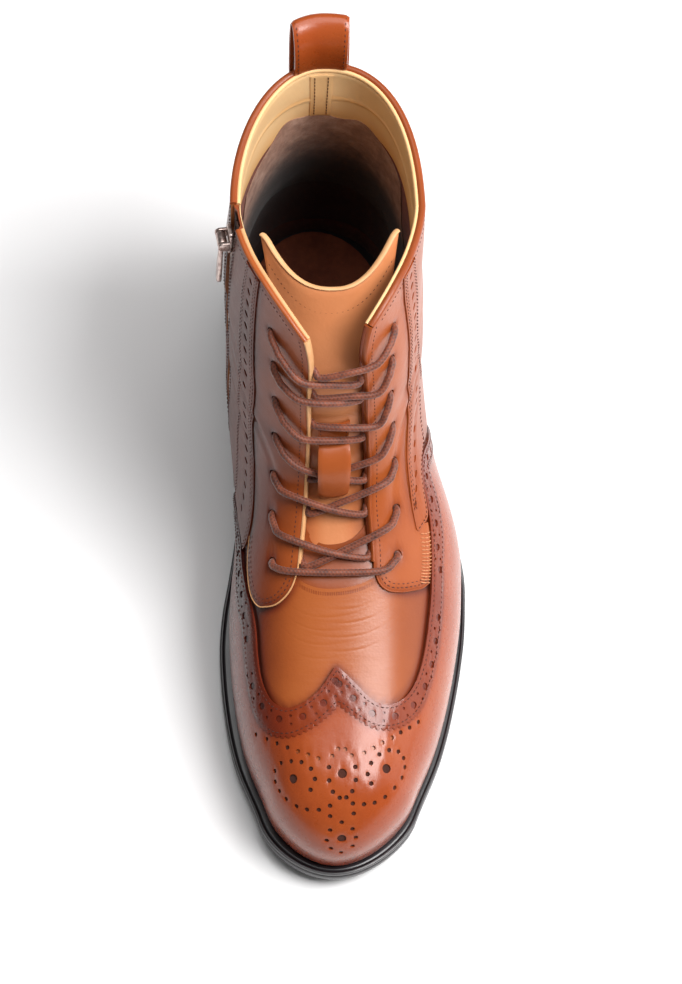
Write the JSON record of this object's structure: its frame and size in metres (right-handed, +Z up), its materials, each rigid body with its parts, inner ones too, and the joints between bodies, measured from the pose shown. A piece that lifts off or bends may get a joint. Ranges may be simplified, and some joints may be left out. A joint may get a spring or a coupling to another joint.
{
  "type": "ankle boot",
  "caption": "Left wing-tip leather ankle boot with front lacing, a zip on the inner side, a pull loop at the back and a stacked heel.",
  "frame": {"origin": "middle of the box's floor, on the plane that the heel and the forefoot stand on", "axes": "+Z up, the toe points to -Y, +X is the outer (little toe) side of this left boot"},
  "size_m": [0.1072, 0.3, 0.2092],
  "materials": {
    "sole_rubber": "smooth black, slight sheen on the edge",
    "lining_leather": "matt natural lining leather",
    "calf": "polished tan calf",
    "burnished_calf": "polished, darker burnished tan calf",
    "soft_calf": "soft grained leather",
    "waxed_cord": "round braided waxed lace",
    "zip_tape": "woven tape",
    "zip_metal": "antique nickel, worn bright on the edges"
  },
  "bodies": {
    "boot": {"heel_top_lift": "sole_rubber", "heel": "sole_rubber", "outsole": "sole_rubber", "midsole": "sole_rubber", "insole": "lining_leather", "upper": "calf", "wing_cap": "burnished_calf", "lacing_panel_inner": "calf", "lacing_panel_outer": "calf", "side_panel_inner": "calf", "back_panel": "calf", "tongue": "soft_calf", "tongue_loop": "soft_calf", "pull_loop": "burnished_calf", "lace_bar_1": "waxed_cord", "lace_cross_2": "waxed_cord", "lace_cross_3": "waxed_cord", "lace_cross_4": "waxed_cord", "lace_cross_5_inner": "waxed_cord", "lace_cross_5_outer": "waxed_cord", "lace_cross_6": "waxed_cord", "lace_cross_7_inner": "waxed_cord", "lace_cross_7_outer": "waxed_cord", "zip_strip": "zip_tape", "zip_slider": "zip_metal"},
    "puller": {"zip_pull": "zip_metal"}
  },
  "joints": [
    {"name": "puller_swing", "type": "hinge", "parent": "boot", "child": "puller", "pos_m": [-0.05015, 0.0642, 0.17305], "axis": [-0.134, 0.9708, -0.1991], "range_deg": [0, 150]}
  ]
}
